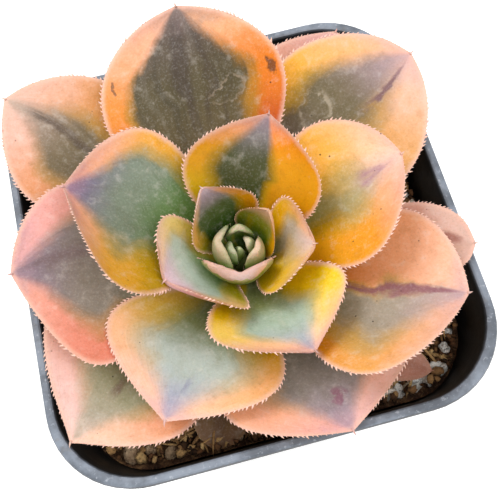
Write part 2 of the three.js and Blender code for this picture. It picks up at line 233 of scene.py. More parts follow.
leafLooks = {
    "leaf_01": {
        "left": (0xA4B070, 0xB0BC84, 0xC4C8A0), "stripe": (0x9AA668, 0xA4B078, 0xB8BE94),
        "right": (0xA4B070, 0xB0BC84, 0xC4C8A0), "under": (0x7C9450, 0x98AC68, 0xBCC894),
        "edge": 0xC0C69A, "edgeWide": 0.25, "tip": 0xD0D4B0, "patch": 3,
    },
    "leaf_02": {
        "left": (0x98A460, 0xA8AE78, 0xBCAE96), "stripe": (0x7C8A48, 0x98A468, 0xB4AA90),
        "right": (0x98A460, 0xA8AE78, 0xBCAE96), "under": (0x6E8844, 0x88A060, 0xA8B084),
        "edge": 0xC4B89C, "edgeWide": 0.25, "tip": 0xCCBCA4, "patch": 3,
    },
    "leaf_03": {
        "left": (0x7E9850, 0x94A868, 0xC0BEA0), "stripe": (0x70904A, 0x86A05C, 0x9CA878),
        "right": (0x70904A, 0x84A05C, 0xA4AC80), "under": (0x648040, 0x7E9C58, 0xA0B080),
        "edge": 0xBEBE9C, "edgeWide": 0.25, "tip": 0xC4C2A8, "patch": 3,
    },
    "leaf_04": {
        "left": (0x55702C, 0x6C8650, 0xA09E78), "stripe": (0x486428, 0x5C7434, 0x989872),
        "right": (0x55702C, 0x6A7E44, 0x90946C), "under": (0x5A7A36, 0x749250, 0x98A474),
        "edge": 0xC4B49C, "edgeWide": 0.25, "tip": 0xC0B098, "patch": 3,
    },
    "leaf_05": {
        "left": (0x6E7E2C, 0xA4A464, 0xD4B49A), "stripe": (0x647428, 0x8E9450, 0xC8AE8C),
        "right": (0x6A7C30, 0x98985C, 0xC8B898), "under": (0x5C7A2C, 0x7E9A54, 0xB0A884),
        "edge": 0xD4B49E, "edgeWide": 0.3, "tip": 0xDCC0AC, "patch": 3,
    },
    "leaf_06": {
        "left": (0x6A8040, 0x909E68, 0xBCB490), "stripe": (0x5E7636, 0x84925A, 0xA4A07C),
        "right": (0x688044, 0x8C9E68, 0xB0B094), "under": (0x58802E, 0x7C9C5C, 0xACA886),
        "edge": 0xCCB89C, "edgeWide": 0.3, "tip": 0xC8B29A, "patch": 3,
    },
    "leaf_07": {
        "left": (0x3A4C0C, 0x74782C, 0xCDAC88), "stripe": (0x4A6014, 0x8C8C38, 0xD8B48E),
        "right": (0xC89A20, 0xE8A83C, 0xE8B88C), "under": (0x748018, 0xC8A448, 0xE4BC98),
        "edge": 0xDCB094, "edgeWide": 0.6, "tip": 0xDCB8A8, "patch": 4,
    },
    "leaf_08": {
        "left": (0xD8A848, 0xDCB478, 0xE0B8A0), "stripe": (0x7A8A3C, 0x98985A, 0xC4AE9C),
        "right": (0xC0A04C, 0xD0AE78, 0xDCB8A4), "under": (0x4E7018, 0x5E7C26, 0x868E3C),
        "edge": 0xD0A8A0, "edgeWide": 1.1, "tip": 0xC8B0AC, "patch": 3,
    },
    "leaf_09": {
        "left": (0x8A8420, 0xE0B070, 0xE0C0AC), "stripe": (0x2E4A10, 0x4E5A34, 0xA09098),
        "right": (0x7C6408, 0xCE943A, 0xE2AE8C), "under": (0xB09A30, 0xC8A048, 0xD0A888),
        "width": (0.62, 0.5, 0.3), "tip": 0xD8C4CC, "edgeWide": 0.8, "patch": 5,
    },
    "leaf_10": {
        "left": (0xC89A10, 0xEAB860, 0xF2C0A0), "stripe": (0x8A8654, 0xB6AA98, 0xD6BCB0),
        "right": (0xD0AE30, 0xE6BC60, 0xE8C094), "width": (0.26, 0.24, 0.24),
        "shift": (0.2, 0.2, 0.08), "tip": 0xE8C8B8, "specks": 0.2, "edgeWide": 0.8, "patch": 5,
    },
    "leaf_11": {
        "left": (0xA89C38, 0xE6BE8C, 0xD49488), "stripe": (0x748C58, 0xB2BEB0, 0xD0B8C0),
        "right": (0xC8B848, 0xE0C888, 0xF0CCB4), "width": (0.5, 0.48, 0.4), "shift": (0, -0.05, 0),
        "tip": 0xE4C0C8, "specks": 0.2, "edgeWide": 0.9, "patch": 5,
    },
    "leaf_12": {
        "left": (0xC8A828, 0xDCA040, 0xECAC88), "stripe": (0x34401C, 0x484B2A, 0x7E7678),
        "right": (0xC88A08, 0xDF9718, 0xF2A070), "width": (0.36, 0.32, 0.25),
        "shift": (0.2, 0.17, 0.1), "soft": (0.2, 0.09), "tip": 0x9C7C84, "wander": 0.2,
    },
    "leaf_13": {
        "left": (0xD8AC28, 0xF2D064, 0xF6C8A4), "stripe": (0x868E5E, 0xA4B4A2, 0xA0A2AA),
        "right": (0xC8A418, 0xEAC878, 0xF0BCA0), "width": (0.42, 0.36, 0.18),
        "shift": (-0.1, -0.06, 0), "tip": 0xB08890, "specks": 0.25,
    },
    "leaf_14": {
        "left": (0xAA8C2C, 0xE2AC60, 0xE8AE94), "stripe": (0x5C7A42, 0x76806E, 0x746C7C),
        "right": (0xC89A30, 0xE6A85C, 0xEAB094), "width": (0.6, 0.5, 0.3),
        "shift": (-0.22, -0.16, -0.04), "tip": 0xA07888, "streaks": 0.6,
    },
    "leaf_15": {
        "left": (0xE0A850, 0xF2BA70, 0xF6C8A8), "stripe": (0x8C8450, 0xA3966C, 0xBCA098),
        "right": (0xDC9C38, 0xEAA45E, 0xF0B49C), "width": (0.3, 0.2, 0.08), "shift": (0, -0.06, 0),
        "soft": (0.22, 0.22), "tip": 0xE8C0B4,
        "lines": ((-0.02, 0.74, 0.93, 0.045, 0x9A7080, 0.7),), "specks": 0.7,
    },
    "leaf_16": {
        "left": (0xD0A040, 0xECB484, 0xF6C6A8), "stripe": (0x7C845C, 0xB0B8B0, 0x9C9CAA),
        "right": (0xCDA860, 0xEEBC9A, 0xF4C4B0), "width": (0.55, 0.52, 0.3), "soft": (0.32, 0.3),
        "tip": 0xB89AA4, "lines": ((0.06, 0.72, 0.84, 0.03, 0x87869A, 0.5),), "specks": 0.2,
    },
    "leaf_17": {
        "left": (0xD87840, 0xE49860, 0xEAB094), "stripe": (0x66583C, 0x50462C, 0x4C3C30),
        "right": (0xC05838, 0xE08850, 0xEEB490), "width": (0.66, 0.6, 0.24), "shift": (0, 0.04, 0),
        "soft": (0.12, 0.16), "tip": 0x7A6460,
        "lines": ((0.02, 0.5, 0.98, 0.05, 0x33251F, 0.65), (-0.14, 0.5, 0.9, 0.03, 0x3A2C20, 0.55),
                  (0.2, 0.45, 0.84, 0.035, 0x38301E, 0.5),
                  (-0.32, 0.45, 0.8, 0.03, 0x3C3020, 0.45)),
        "spots": ((0.66, -0.84, 0.025, 0.07, 0x4A2A18, 0.8),
                  (0.74, 0.78, 0.02, 0.03, 0x4A3420, 0.7)),
        "rings": ((0.62, -0.3, 0.05, 0.14, 0x9A8A78, 0.6),), "streaks": 1.0,
    },
    "leaf_18": {
        "left": (0xD48C5C, 0xE6A884, 0xF0BCA2), "stripe": (0x8A8062, 0x9C9080, 0xB49C98),
        "right": (0xD08C4A, 0xE2A870, 0xE6B49C), "width": (0.28, 0.26, 0.14),
        "shift": (-0.3, -0.28, -0.14), "soft": (0.1, 0.26), "tip": 0xB89AA0,
        "lines": ((-0.02, 0.3, 0.98, 0.036, 0x865A62, 0.9),), "specks": 1.0,
    },
    "leaf_19": {
        "left": (0xD8866A, 0xDC9280, 0xE4A898), "stripe": (0x76725E, 0x857C72, 0x806F78),
        "right": (0xC8886E, 0xDFA294, 0xECB4AE), "width": (0.5, 0.44, 0.26),
        "shift": (0.1, 0.04, 0), "tip": 0xA88890,
        "lines": ((-0.06, 0.62, 0.92, 0.06, 0x6A5658, 0.6),), "streaks": 0.6,
    },
    "leaf_20": {
        "left": (0xD49A48, 0xEEB464, 0xF2BC94), "stripe": (0x6C5C4A, 0x6A5E44, 0xA08C8C),
        "right": (0xC88A58, 0xDCA878, 0xEAC0AC), "width": (0.5, 0.4, 0.2),
        "shift": (0.26, 0.18, 0.1), "tip": 0xD8B0AC,
        "lines": ((-0.08, 0.72, 0.97, 0.02, 0x6A4A54, 0.8),),
        "rings": ((0.6, 0.3, 0.07, 0.16, 0xA89C88, 0.7),), "specks": 0.5,
    },
    "leaf_21": {
        "left": (0xD8A078, 0xECB094, 0xEABCB0), "stripe": (0x6E6852, 0x908880, 0x988890),
        "right": (0xD89868, 0xEFB492, 0xECB4A6), "width": (0.5, 0.42, 0.26),
        "shift": (0.05, 0.05, 0), "tip": 0xC8A0A8,
        "spots": ((0.82, 0.05, 0.04, 0.075, 0x865A6A, 0.75),),
    },
    "leaf_22": {
        "left": (0xC07E54, 0xD89A76, 0xE4B8A8), "stripe": (0x74664C, 0x6C5E46, 0x9C887A),
        "right": (0xC07C40, 0xD09460, 0xE4B4A0), "width": (0.6, 0.46, 0.18),
        "shift": (0.16, 0.12, 0), "tip": 0xD0B4A4,
        "lines": ((-0.02, 0.45, 0.9, 0.06, 0x46362C, 0.7),), "streaks": 0.6,
    },
    "leaf_23": {
        "left": (0xC88A78, 0xD09A88, 0xDCB8AA), "stripe": (0xB07868, 0xC08878, 0xC8A090),
        "right": (0xC88A78, 0xC88A78, 0xD0A898), "width": (0.2, 0.2, 0.1), "tip": 0xC8A89C,
        "lines": ((0.1, 0.6, 0.95, 0.1, 0x7A3028, 0.7),),
    },
    "leaf_24": {
        "left": (0xC87850, 0xE0A080, 0xEEC0A8), "stripe": (0x6C6A44, 0x8E8A6C, 0xA89C8C),
        "right": (0xB06848, 0xD8A494, 0xEAC4BC), "width": (0.45, 0.42, 0.28), "tip": 0xE0C0B0,
        "lines": ((0.02, 0.66, 0.76, 0.035, 0x6A5048, 0.7),),
    },
    "leaf_25": {
        "left": (0xD08870, 0xD89C84, 0xDCA898), "stripe": (0x803828, 0x8C4030, 0xA06050),
        "right": (0xB87058, 0xC88870, 0xD8A090), "width": (0.3, 0.3, 0.2),
    },
    "leaf_26": {
        "left": (0x8A5A48, 0xA87060, 0xB88878), "stripe": (0x7A4E3E, 0x986454, 0xA87868),
        "right": (0x8A5A48, 0xA06A5A, 0xB88878), "under": (0x6A4434, 0x805444, 0x906454),
        "edge": 0xB48A78, "tip": 0x8A5C4C, "specks": 0.8,
    },
    "leaf_27": {
        "left": (0x5A3E28, 0x6B4E36, 0x7A5C42), "stripe": (0x4E3422, 0x5E432E, 0x6E523A),
        "right": (0x5A3E28, 0x6B4E36, 0x7A5C42), "under": (0x44301E, 0x523A26, 0x60462E),
        "edge": 0x8A6A4C, "tip": 0x6A4E36, "specks": 0.8,
    },
}

skin = {
    "fine": 0.45, "mottle": 2.4, "grit": 2.1, "dust": 1.1,  # mm, the width of one patch
    "fibres": (13, 2.4, 5), "broad": (4.5, 1.3, 3),  # number across, number along, detail
    "drift": (0.34, 0.16, 0.14),  # how far patches, fibres and mottle push a border sideways
    "reach": (0.16, 0.06),  # how far patches and mottle push a colour along the leaf
    "shadow": (0.74, 0.72, 0.66, 1), "light": (0.82, 0.76, 0.68, 1), "lightShare": 0.3,
    "darkClouds": 0.4, "paleClouds": 0.55, "paleStreaks": 0.14, "tip": 0.75, "margin": 0.8,
    "bloom": (0.86, 0.82, 0.78, 1), "pits": (0.1, 0.08, 0.05, 1), "pitShare": 0.2,
    "speck": 0x2A1E14, "speckShare": 0.85, "grains": (0.8, 0.77, 0.72, 1),
    "tooth": (0.95, 0.8, 0.72, 1), "toothShare": 0.1, "saturation": 1.15, "value": 0.92,
    "rough": (0.52, 0.38), "ior": 1.4, "flesh": 0.12, "fleshDepth": 1.2,  # mm
    "bumps": (0.06, 0.16, 0.5),  # mm, for the fine pattern, the fibres and the patches
}


def makeLeafSkin(name, look):
    # thick waxy skin: a green stripe between coloured flanks, with bloom, dust and grit on it
    material, node, place = newMaterial(name + "_skin")
    seed = sum(ord(c) * (i + 1) for i, c in enumerate(name)) % 97
    along, across, rim, under = [node("attribute", attribute_name=key)
                                 for key in ("along", "across", "rim", "under")]
    moved = node("move", place, (seed * 0.01, seed * 0.023, 0))
    patches = node("clouds", moved, per(look["patch"]), 4, 0.55)
    fine = node("clouds", moved, per(skin["fine"]), 4, 0.65)
    mottle = node("clouds", moved, per(skin["mottle"]), 4, 0.6)

    def lengthwise(key, start):
        # streaks that run along the leaf and draw together at both ends
        number, stretch, detail = skin[key]
        vector = node("vector", node("multiply", across, number),
                      node("multiply", along, stretch), start)
        return node("clouds", vector, 1, detail, 0.62)

    def stopsOf(key):
        return [(at, colour(c)) for at, c in zip(colourStops, look[key])]

    def valuesOf(key, lift=0.0):
        return [(at, [v * 0.5 + lift] * 3 + [1]) for at, v in zip(colourStops, look[key])]

    def centred(value, strength):
        return node("multiply", node("subtract", value, 0.5), strength)

    fibres = lengthwise("fibres", seed)
    broad = lengthwise("broad", seed + 3)
    byPatch, byFibre, byMottle = skin["drift"]
    drift = node("add", centred(fibres, byFibre), centred(mottle, byMottle))
    drift = node("add", centred(patches, byPatch), drift)
    side = node("add", across, node("multiply", drift, look["wander"]))
    byPatch, byMottle = skin["reach"]
    far = node("add", centred(patches, byPatch), centred(mottle, byMottle))
    far = node("add", along, far)

    # the two flanks and the stripe down the middle
    left = node("ramp", far, stops=stopsOf("left"), ease="EASE")
    right = node("ramp", far, stops=stopsOf("right"), ease="EASE")
    flank = node("mix", node("smooth", side, -0.12, 0.12), right, left)
    wide = node("ramp", along, stops=valuesOf("width"), ease="EASE")
    wide = node("multiply", wide, 2)
    middle = node("ramp", along, stops=valuesOf("shift", 0.5), ease="EASE")
    middle = centred(middle, 2)
    off = node("subtract", side, middle)
    softLeft, softRight = look["soft"]
    leftBorder = node("smooth", node("subtract", off, wide), softLeft, -softLeft)
    rightBorder = node("smooth", node("add", off, wide), -softRight, softRight)
    stripe = node("multiply", leftBorder, rightBorder)
    inner = node("ramp", far, stops=stopsOf("stripe"), ease="EASE")
    shade = node("mix", stripe, flank, inner)
    meeting = node("multiply", stripe, node("subtract", 1, stripe))
    meeting = node("multiply", meeting, 4)
    meeting = node("multiply", meeting, node("smooth", far, 0.95, 0.5))
    meeting = node("multiply", meeting, look["fringeShown"])
    shade = node("mix", meeting, shade, colour(look["fringe"]))

    # cloudy lighter and darker places, and fibres in the stripe
    darker = node("darken", 1.0, shade, skin["shadow"])
    lighter = node("mix", skin["lightShare"], shade, skin["light"])
    for value, low, high, share, over in (
            (mottle, 0.5, 0.3, skin["darkClouds"], darker),
            (mottle, 0.52, 0.72, skin["paleClouds"], lighter)):
        shown = node("multiply", node("smooth", value, low, high), share)
        shade = node("mix", shown, shade, over)
    streak = node("smooth", fibres, 0.46, 0.7)
    streak = node("multiply", streak, look["streaks"])
    shade = node("mix", node("multiply", streak, stripe), shade, darker)
    pale = node("smooth", broad, 0.5, 0.72)
    pale = node("multiply", pale, look["streaks"] * skin["paleStreaks"])
    shade = node("mix", pale, shade, lighter)

    # dark veins, blotches and the rings of dried drops
    veinSide = node("add", centred(fibres, 0.1), centred(mottle, 0.1))
    veinSide = node("add", across, veinSide)
    broken = node("smooth", fibres, 0.3, 0.5)
    for at, start, end, half, tone, strength in look["lines"]:
        near = node("absolute", node("subtract", veinSide, at))
        near = node("smooth", near, half * 1.6, half * 0.2)
        reach = node("multiply", node("smooth", far, start - 0.04, start + 0.06),
                     node("smooth", far, end + 0.03, end - 0.05))
        share = node("multiply", node("multiply", near, reach),
                     node("multiply", broken, strength))
        shade = node("mix", share, shade, colour(tone))

    def gapFrom(at, offSide, tall, broadness):
        # 1 on the border of an uneven oval
        u = node("add", along, centred(mottle, 0.1))
        u = node("divide", node("subtract", u, at), tall)
        v = node("add", across, centred(mottle, 0.3))
        v = node("divide", node("subtract", v, offSide), broadness)
        squares = [node("multiply", part, part) for part in (u, v)]
        return node("root", node("add", *squares))

    for *oval, tone, strength in look["spots"]:
        gap = node("smooth", gapFrom(*oval), 1.35, 0.7)
        shade = node("mix", node("multiply", gap, strength), shade, colour(tone))
    for *oval, tone, strength in look["rings"]:
        band = node("absolute", node("subtract", gapFrom(*oval), 1))
        band = node("smooth", band, 0.2, 0.02)
        band = node("multiply", band, node("smooth", mottle, 0.35, 0.6))
        shade = node("mix", node("multiply", band, strength), shade, colour(tone))

    # tip, margin, underside and teeth
    edge = colour(look["edge"])
    tip = node("multiply", node("smooth", far, 0.86, 1.03), skin["tip"])
    shade = node("mix", tip, shade, colour(look["tip"]))
    loose = node("add", rim, centred(mottle, look["edgeWide"] * 0.9))
    margin = node("smooth", loose, look["edgeWide"], -0.2)
    shade = node("mix", node("multiply", margin, skin["margin"]), shade, edge)
    plain = node("ramp", far, stops=stopsOf("under"), ease="EASE")
    below = node("mix", node("smooth", mottle, 0.35, 0.65), plain, lighter)
    below = node("mix", 0.35, plain, below)
    below = node("mix", node("smooth", rim, look["edgeWide"], 0), below, edge)
    shade = node("mix", under, shade, below)
    toothHere = node("smooth", rim, -0.1, -0.5)
    shade = node("mix", toothHere, shade, node("mix", skin["toothShare"], edge, skin["tooth"]))

    # frosty bloom, dark specks of grit and pale dust
    bloom = node("multiply", node("smooth", fine, 0.48, 0.72), look["dust"])
    shade = node("mix", bloom, shade, skin["bloom"])
    pits = node("multiply", node("smooth", fine, 0.46, 0.28), skin["pitShare"])
    shade = node("mix", pits, shade, skin["pits"])
    grit = node("cells", moved, per(skin["grit"]))
    gritty = node("clouds", moved, per(5), 2)
    gritty = node("smooth", gritty, 0.64 - 0.16 * look["specks"], 0.7 - 0.12 * look["specks"])
    shown = node("multiply", node("smooth", grit, 0.11, 0.06), gritty)
    shown = node("multiply", shown, skin["speckShare"])
    shade = node("mix", shown, shade, colour(skin["speck"]))
    dust = node("cells", moved, per(skin["dust"]))
    dusty = node("smooth", node("clouds", moved, per(4), 2), 0.54, 0.66)
    shown = node("multiply", node("smooth", dust, 0.12, 0.05), dusty)
    shade = node("mix", node("multiply", shown, look["dust"]), shade, skin["grains"])
    shade = node("tint", skin["saturation"], skin["value"], shade)

    fineDeep, fibreDeep, patchDeep = skin["bumps"]
    relief = node("bump", fine, fineDeep * mm, 0.6)
    relief = node("bump", fibres, fibreDeep * mm, 0.5, relief)
    relief = node("bump", patches, patchDeep * mm, 0.5, relief)
    node("output", node("surface", {
        "Base Color": shade, "Roughness": node("range", fine, *skin["rough"]),
        "IOR": skin["ior"], "Normal": relief, "Subsurface Weight": skin["flesh"],
        "Subsurface Radius": (1.0, 0.5, 0.25), "Subsurface Scale": skin["fleshDepth"] * mm}))
    return material


# leaves
leafBuild = {"marginSteps": 11, "levels": 2, "splitAngle": 70}
toothBuild = {  # lengths in mm
    "gap": 0.92, "long": 0.76, "lean": 0.6, "wide": 0.8, "thick": 0.5, "sunk": 0.12,
    "root": 0.4, "bends": (((0.12, 0.5, 0), 0.7), ((0.32, 0.5, 0), 0.16)),
    "fullLeaf": 24,  # leaves narrower than this carry smaller teeth
}
plumpLeaves = {  # mm
    "leaf_02": 0.3, "leaf_03": 0.3, "leaf_04": 0.3, "leaf_05": 0.3, "leaf_06": 0.35, "leaf_08": 0.4}
stemLow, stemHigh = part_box("stem")
stemMiddle = (stemLow + stemHigh) / 2


def makeTooth():
    # a soft bent spike one unit long, standing on +Y and leaning to +X
    startFresh()
    bpy.ops.mesh.primitive_circle_add(vertices=5, radius=toothBuild["root"], fill_type="NGON",
                                      rotation=(math.radians(-90), 0, 0))
    tooth = bpy.context.object
    tooth.name = "tooth"
    bpy.ops.object.transform_apply(rotation=True)
    bpy.ops.object.mode_set(mode="EDIT")
    bpy.ops.mesh.select_all(action="SELECT")
    for step, shrink in toothBuild["bends"]:
        bpy.ops.mesh.extrude_region_move(TRANSFORM_OT_translate={"value": step})
        bpy.ops.transform.resize(value=(shrink, 1, shrink))
    bpy.ops.mesh.select_all(action="SELECT")
    bpy.ops.mesh.normals_make_consistent(inside=False)
    bpy.ops.object.mode_set(mode="OBJECT")
    return tooth


def walkMargins(shape, sharpness):
    # both edges of the blade, followed from the tip along the sharpest fold
    hard = shape.edges.layers.float.new("crease_edge")
    hardPoint = shape.verts.layers.float.new("crease_vert")
    tip = max(shape.verts, key=lambda v: len(v.link_edges))
    tip[hardPoint] = 1
    sides = []
    for edge in sorted(tip.link_edges, key=lambda e: -e.calc_face_angle(0))[:2]:
        path = [tip]
        while True:
            path.append(edge.other_vert(path[-1]))
            edge[hard] = sharpness
            if len(path) > leafBuild["marginSteps"]:
                break
            others = (e for e in path[-1].link_edges if e != edge)
            edge = max(others, key=lambda e: e.calc_face_angle(0))
        sides.append([vertex.co.copy() for vertex in reversed(path)])
    return sides


def refine(points):
    # the curve that a creased edge takes when the surface is subdivided
    for _ in range(leafBuild["levels"]):
        finer = [points[0]]
        for i in range(1, len(points)):
            finer.append((points[i - 1] + points[i]) / 2)
            if i + 1 < len(points):
                finer.append(points[i - 1] / 8 + points[i] * 0.75 + points[i + 1] / 8)
        finer.append(points[-1])
        points = finer
    return points


def gapTo(places, line):
    # each place's distance to the nearest point of a line
    line = np.array(line)
    start = line[:-1][None]
    span = line[1:][None] - start
    share = ((places[:, None] - start) * span).sum(2) / np.maximum((span ** 2).sum(2), 1e-16)
    nearest = start + span * np.clip(share, 0, 1)[..., None]
    return np.linalg.norm(places[:, None] - nearest, axis=2).min(1)


def stamp(shape, pattern, place, values):
    before = len(shape.verts)
    shape.from_mesh(pattern.data)
    shape.verts.ensure_lookup_table()
    for vertex in shape.verts[before:]:
        vertex.co = place @ vertex.co
        for name, value in values.items():
            vertex[shape.verts.layers.float[name]] = value


def addTeeth(shape, margin, opposite, ups, tooth, scale, dice, side):
    # teeth along one margin, shorter towards the base and the tip
    travelled = 0.0
    goal = toothBuild["gap"] * mm * 2
    lengths = [(b - a).length for a, b in zip(margin, margin[1:])]
    whole = sum(lengths)
    for i, part in enumerate(lengths):
        while travelled + part > goal:
            t = (goal - travelled) / part
            root = margin[i].lerp(margin[i + 1], t)
            ahead = (margin[i + 1] - margin[i]).normalized()
            share = goal / whole
            out = root - opposite[i].lerp(opposite[i + 1], t)
            out = (out - ahead * out.dot(ahead)).normalized()
            long = toothBuild["long"] * mm * scale * dice.uniform(0.35, 1.15)
            long *= min(1, 0.4 + 1.6 * share) * min(1, 5 * (1.02 - share))
            lean = ahead * toothBuild["lean"] * dice.uniform(0.4, 1.3)
            tall = (out + lean + ups[i] * dice.uniform(-0.15, 0.35)).normalized()
            across = (ahead - tall * ahead.dot(tall)).normalized()
            turn = Matrix((across, tall, across.cross(tall))).transposed().to_4x4()
            size = Matrix.Diagonal((long * toothBuild["wide"], long, long * toothBuild["thick"], 1))
            place = Matrix.Translation(root - tall * long * toothBuild["sunk"]) @ turn @ size
            stamp(shape, tooth, place, {"along": 0.3 + 0.7 * share, "across": side, "rim": -0.6})
            goal += toothBuild["gap"] * mm * scale ** 0.5 * dice.uniform(0.75, 1.25)
        travelled += part


def addPoint(shape, left, right, middle, tooth, scale):
    # the pointed tip of the leaf
    point = left[-1]
    ahead = (point - middle[-3]).normalized()
    across = (left[-3] - right[-3]).normalized()
    across = (across - ahead * across.dot(ahead)).normalized()
    long = (0.3 + 1.0 * scale) * mm
    turn = Matrix((across, ahead, across.cross(ahead))).transposed().to_4x4()
    size = Matrix.Diagonal((long * 0.5, long, long * 0.5, 1))
    place = Matrix.Translation(point - ahead * long * 0.35) @ turn @ size
    stamp(shape, tooth, place, {"along": 1.0, "across": 0.0, "rim": 0.4})


def markLeaf(leaf, left, right, foot):
    # along runs from base to tip, across from the right margin (-1) to the left (1), rim in mm
    places = np.array([vertex.co for vertex in leaf.data.vertices])
    toLeft, toRight = gapTo(places, left), gapTo(places, right)
    base = np.array(foot)
    chord = np.array(left[-1]) - base
    values = {
        "along": np.clip((places - base) @ chord / (chord @ chord), 0, 1),
        "across": (toRight - toLeft) / np.maximum(toRight + toLeft, 1e-9),
        "rim": np.minimum(toLeft, toRight) / mm,
    }
    for key, shares in values.items():
        layer = leaf.data.attributes.new(key, "FLOAT", "POINT")
        layer.data.foreach_set("value", shares.astype(np.float32))


def makeLeaf(name, look, tooth):
    leaf = addObject(name + "_blade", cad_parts[name].data.copy())
    leaf.data.materials.clear()
    shape = bmesh.new()
    shape.from_mesh(leaf.data)
    bmesh.ops.remove_doubles(shape, verts=shape.verts, dist=1e-6)
    sides = walkMargins(shape, 0 if name in plumpLeaves else 1)
    foot = (sides[0][0] + sides[1][0]) / 2
    outward = foot - stemMiddle
    leftWay = Vector((-outward.y, outward.x, 0))
    half = leafBuild["marginSteps"] // 2
    if (sides[0][half] - sides[1][half]).dot(leftWay) < 0:
        sides.reverse()
    left, right = sides
    middle = [(a + b) / 2 for a, b in zip(left, right)]
    # which faces are the underside
    underSide = shape.faces.layers.float.new("under")
    ups = []
    for i in range(len(middle) - 1):
        ups.append((middle[i + 1] - middle[i]).cross(left[i] - right[i]).normalized())
    ups.append(ups[-1])
    for face in shape.faces:
        centre = face.calc_center_median()
        nearest = min(range(len(middle)), key=lambda i: (middle[i] - centre).length_squared)
        face[underSide] = 1 if face.normal.dot(ups[nearest]) < 0 else 0
        face.smooth = True
    shape.to_mesh(leaf.data)
    shape.free()
    pickOnly(leaf)
    bpy.ops.object.mode_set(mode="EDIT")
    bpy.ops.mesh.select_all(action="SELECT")
    bpy.ops.mesh.tris_convert_to_quads()
    bpy.ops.object.mode_set(mode="OBJECT")
    applyModifier(leaf, "SUBSURF", levels=leafBuild["levels"], render_levels=leafBuild["levels"])
    if name in plumpLeaves:
        bpy.ops.object.mode_set(mode="EDIT")
        bpy.ops.mesh.select_all(action="SELECT")
        bpy.ops.transform.shrink_fatten(value=plumpLeaves[name] * mm)
        bpy.ops.object.mode_set(mode="OBJECT")

    leftFine, rightFine = refine(left), refine(right)
    markLeaf(leaf, leftFine, rightFine, foot)
    dice = random.Random(name)
    breadth = max((a - b).length for a, b in zip(left, right)) / mm
    scale = min(1, max(0.35, breadth / toothBuild["fullLeaf"]))
    shape = bmesh.new()
    shape.from_mesh(leaf.data)
    times = 2 ** leafBuild["levels"]
    upsFine = [ups[min(i // times, len(ups) - 1)] for i in range(len(leftFine))]
    addTeeth(shape, leftFine, rightFine, upsFine, tooth, scale, dice, 0.95)
    addTeeth(shape, rightFine, leftFine, upsFine, tooth, scale, dice, -0.95)
    addPoint(shape, left, right, middle, tooth, scale)
    shape.to_mesh(leaf.data)
    shape.free()
    pickOnly(leaf)
    split = 180 if name in plumpLeaves else leafBuild["splitAngle"]
    bpy.ops.object.shade_smooth_by_angle(angle=math.radians(split))
    leaf.data.materials.append(makeLeafSkin(name, look))
    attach(leaf, "root")
    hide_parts(name)


tooth = makeTooth()
for name in sorted(leafLooks):
    makeLeaf(name, {**plainLook, **leafLooks[name]}, tooth)
bpy.data.objects.remove(tooth)
print("leaves ready")

# pot
pot = {
    "base": 74, "corner": 14.4, "cornerSteps": 12, "firstRing": 1.2, "footShare": 0.965,
    # height and width of each ring, up the outside, over the lip and down the inside
    "rings": ((76.5, 87.3), (76.7, 89.3), (77.3, 90), (79.3, 90), (79.8, 89.6), (80, 89),
              (80, 87.2), (79.8, 86.6), (79.3, 86.2), (76.6, 85.2), (2.9, 72.1), (2, 71),
              (1.6, 69.6)),
    "holeRadius": 4, "holeReach": 22.2, "holeDeep": 8, "splitAngle": 32,
    "dust": 6, "scuff": 0.9, "rub": 4, "splash": 2.2,  # mm, the width of one patch
    # the lip greys are dust and painted sheen on the rim's upward top, the side greys rubbing and
    # painted sheen on its outer side
    "black": (0x0E0F10, 0x191B1D), "lip": (0x5A6069, 0x828A96), "worn": 0xB4BAC2,
    "side": (0x26282C, 0x484C54), "mud": 0x6B6255, "rough": (0.42, 0.68), "ior": 1.49,
}


def selectFlat(block, height, up):
    # the faces lying flat at a height and looking up or down
    bpy.ops.mesh.select_all(action="DESELECT")
    mesh = bmesh.from_edit_mesh(block.data)
    for face in mesh.faces:
        level = abs(face.calc_center_median().z - height * mm) < 0.02 * mm
        face.select_set(level and face.normal.z * up > 0.99)
    bmesh.update_edit_mesh(block.data)


def roundedBlock(name, width, corner, steps, foot, first):
    # a low block with round upright corners, standing on the height called foot
    startFresh()
    bpy.ops.mesh.primitive_cube_add(size=1)
    block = bpy.context.object
    block.name = name
    bpy.ops.object.mode_set(mode="EDIT")
    bpy.ops.mesh.select_all(action="SELECT")
    bpy.ops.transform.resize(value=(width * mm, width * mm, (first - foot) * mm),
                             center_override=(0, 0, 0))
    bpy.ops.transform.translate(value=(0, 0, (first + foot) / 2 * mm))
    bpy.ops.mesh.select_all(action="DESELECT")
    bpy.ops.mesh.select_mode(type="EDGE")
    mesh = bmesh.from_edit_mesh(block.data)
    for edge in mesh.edges:
        edge.select_set(abs(edge.verts[0].co.z - edge.verts[1].co.z) > 0.1 * mm)
    bmesh.update_edit_mesh(block.data)
    bpy.ops.mesh.bevel(offset=corner * mm, segments=steps)
    bpy.ops.mesh.select_mode(type="FACE")
    return block


def raiseRings(block, rings, height, width):
    selectFlat(block, height, 1)
    for nextHeight, nextWidth in rings:
        grow = nextWidth / width
        bpy.ops.mesh.extrude_region_move(
            TRANSFORM_OT_translate={"value": (0, 0, (nextHeight - height) * mm)})
        bpy.ops.transform.resize(value=(grow, grow, 1), center_override=(0, 0, nextHeight * mm))
        height, width = nextHeight, nextWidth


body = roundedBlock("pot_body", pot["base"], pot["corner"], pot["cornerSteps"], 0, pot["firstRing"])
raiseRings(body, pot["rings"], pot["firstRing"], pot["base"])
selectFlat(body, 0, -1)
bpy.ops.transform.resize(value=(pot["footShare"], pot["footShare"], 1), center_override=(0, 0, 0))
bpy.ops.object.mode_set(mode="OBJECT")
